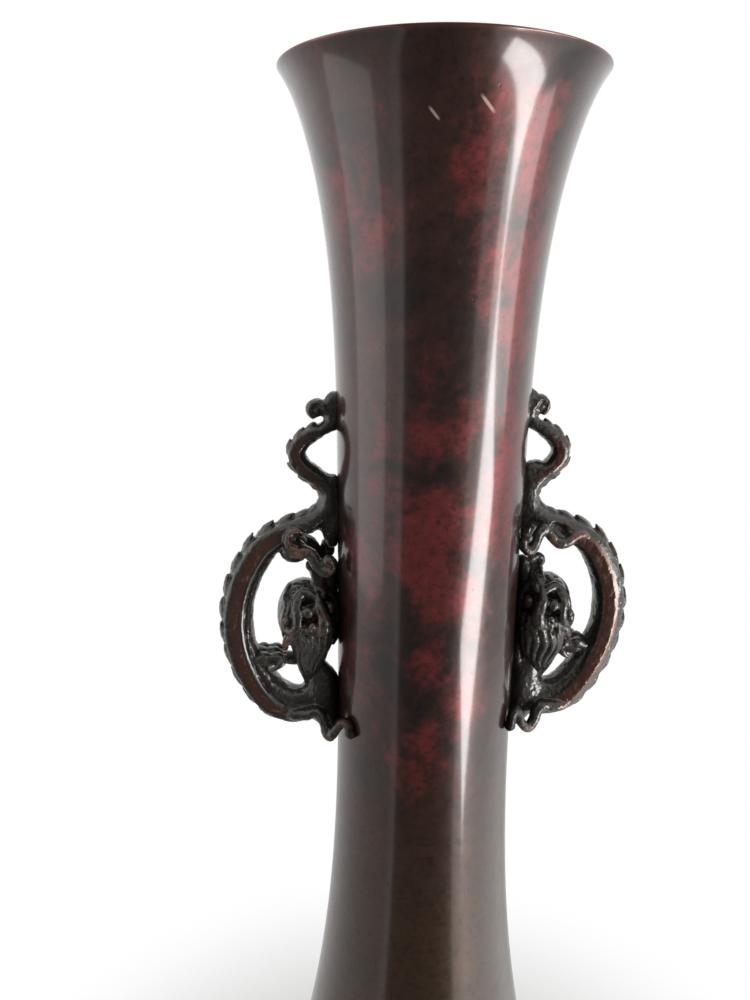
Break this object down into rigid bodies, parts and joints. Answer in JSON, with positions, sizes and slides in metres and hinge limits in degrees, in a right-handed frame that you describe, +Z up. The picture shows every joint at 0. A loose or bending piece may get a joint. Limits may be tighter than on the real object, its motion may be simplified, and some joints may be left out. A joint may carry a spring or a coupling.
{
  "type": "bronze vase",
  "caption": "Tall trumpet-necked bronze flower vase on a rounded body and ring foot, with cast dragon handles riveted to the neck.",
  "frame": {"origin": "centre of the circle on which the foot rests", "axes": "+Z up along the vase's axis, X through the two handles, +X to the right-hand handle as the picture shows it"},
  "size_m": [0.1581, 0.144, 0.51],
  "materials": {
    "vessel_bronze": "polished red and black patina",
    "dragon_bronze": "dark brown patina, rubbed on its high points",
    "inner_bronze": "as cast, dull dark brown"
  },
  "bodies": {
    "root": {"neck": "vessel_bronze", "body": "vessel_bronze", "foot_ring": "vessel_bronze", "base_plate": "inner_bronze", "right_dragon_body": "dragon_bronze", "right_dragon_head": "dragon_bronze", "right_forepaw": "dragon_bronze", "right_upper_rivet": "inner_bronze", "right_middle_rivet": "inner_bronze", "right_lower_rivet": "inner_bronze", "left_dragon_body": "dragon_bronze", "left_dragon_head": "dragon_bronze", "left_forepaw": "dragon_bronze", "left_upper_rivet": "inner_bronze", "left_middle_rivet": "inner_bronze", "left_lower_rivet": "inner_bronze"}
  },
  "joints": []
}
